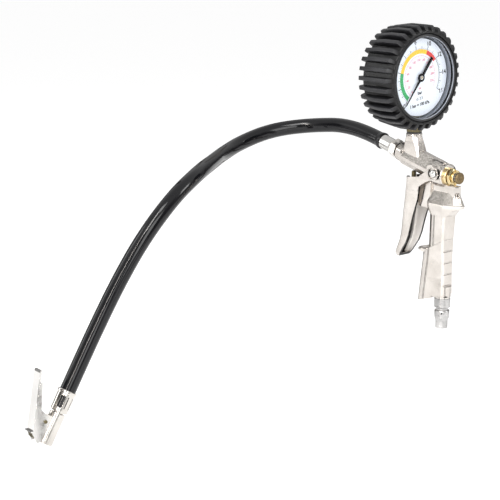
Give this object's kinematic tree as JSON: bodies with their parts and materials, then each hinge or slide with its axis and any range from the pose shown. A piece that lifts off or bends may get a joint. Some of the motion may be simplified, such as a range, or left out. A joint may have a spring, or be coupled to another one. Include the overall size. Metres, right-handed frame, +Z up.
{
  "type": "tyre inflator with gauge",
  "caption": "Hand-held air line tyre inflator: trigger valve body, booted dial pressure gauge, rear bleed button, flexible hose and clip-on lever chuck.",
  "frame": {"origin": "centre of the lower end of the air inlet plug", "axes": "+Z up through the grip to the gauge, +X towards the user's side, which the dial faces, -X the way the hose leaves, Y across the grip"},
  "size_m": [0.1983, 0.3752, 0.3073],
  "materials": {
    "cast": "satin nickel plate over a zinc casting",
    "steel": "bright nickel plate",
    "brass": "machined",
    "black_steel": "black oxide",
    "rubber": "matt moulded",
    "hose": "smooth glossy",
    "seal": "matt",
    "spring": "wire",
    "case": "satin black",
    "lens": "clear",
    "dial": "white print",
    "pointer": "matt black"
  },
  "bodies": {
    "gun": {"gun_body": "cast", "inlet_plug": "steel", "inlet_seal_washer": "seal", "valve_cartridge": "brass", "stem_o_ring": "seal", "cartridge_seal_ring": "seal", "valve_spring": "spring", "bleed_valve_body": "brass", "bleed_lock_nut": "steel", "bleed_spring": "spring", "trigger_pivot_screws": "steel", "hose_fitting": "brass", "fitting_sleeve": "steel", "fitting_seal_washer": "seal", "hose_end_collar": "black_steel", "hose": "hose", "chuck_ferrule": "steel", "chuck_body": "brass", "chuck_mouth_seal": "seal", "chuck_depressor": "brass", "chuck_lever_spring": "spring", "gauge_case": "case", "gauge_bezel": "case", "gauge_lens": "lens", "dial_plate": "dial", "rubber_boot": "rubber", "gauge_socket": "brass", "gauge_seal_washer": "seal", "bourdon_tube": "brass", "bourdon_tip": "brass", "movement_rear_plate": "brass", "movement_front_plate": "brass", "movement_pillars": "brass", "movement_screws": "steel", "hairspring": "spring"},
    "trigger": {"trigger": "cast", "trigger_stop_screw": "steel", "trigger_stop_nut": "steel"},
    "valve_stem": {"valve_stem": "brass", "valve_poppet_seal": "seal"},
    "bleed_button": {"bleed_button": "brass", "bleed_seal_ring": "seal"},
    "sector": {"sector_gear": "brass", "sector_arbor": "steel"},
    "pointer": {"pointer": "pointer", "pointer_hub_cap": "brass", "pinion_shaft": "brass"},
    "drag_link": {"drag_link": "brass"},
    "chuck_lever": {"chuck_lever": "steel", "chuck_pivot_pin": "steel", "chuck_jaw": "brass"}
  },
  "joints": [
    {"name": "trigger_hinge", "type": "hinge", "parent": "gun", "child": "trigger", "pos_m": [-0.006, 0, 0.1302], "axis": [0, -1, 0], "range_deg": [0, 8], "stiffness_Nm_per_rad": 6, "springref_deg": -3.44},
    {"name": "valve_stem_slide", "type": "slide", "parent": "gun", "child": "valve_stem", "axis": [1, 0, 0], "range_m": [0, 0.0036], "deforming": ["valve_spring"]},
    {"name": "bleed_button_slide", "type": "slide", "parent": "gun", "child": "bleed_button", "axis": [-1, 0, 0], "range_m": [0, 0.002], "stiffness_N_per_m": 900, "springref_m": -0.002, "deforming": ["bleed_spring"]},
    {"name": "sector_turn", "type": "hinge", "parent": "gun", "child": "sector", "pos_m": [-0.0395, 0.002, 0.19165], "axis": [1, 0, 0], "range_deg": [0, 33.75]},
    {"name": "pointer_spin", "type": "hinge", "parent": "gun", "child": "pointer", "pos_m": [-0.0325, 0, 0.205], "axis": [-1, 0, 0], "range_deg": [0, 270]},
    {"name": "drag_link_pivot", "type": "hinge", "parent": "sector", "child": "drag_link", "pos_m": [-0.0378, 0.0112, 0.1944], "axis": [1, 0, 0], "range_deg": [-33.75, 0]},
    {"name": "chuck_lever_hinge", "type": "hinge", "parent": "gun", "child": "chuck_lever", "pos_m": [-0.10868, -0.3187, -0.03778], "axis": [-0.9874, 0.1274, -0.0942], "range_deg": [0, 18], "stiffness_Nm_per_rad": 0.4, "springref_deg": -11.46, "deforming": ["chuck_lever_spring"]}
  ],
  "couplings": [
    {"joint": "valve_stem_slide", "follows": "trigger_hinge", "m_per_rad": 0.025},
    {"joint": "pointer_spin", "follows": "sector_turn", "ratio": 8},
    {"joint": "drag_link_pivot", "follows": "sector_turn", "ratio": -1}
  ]
}
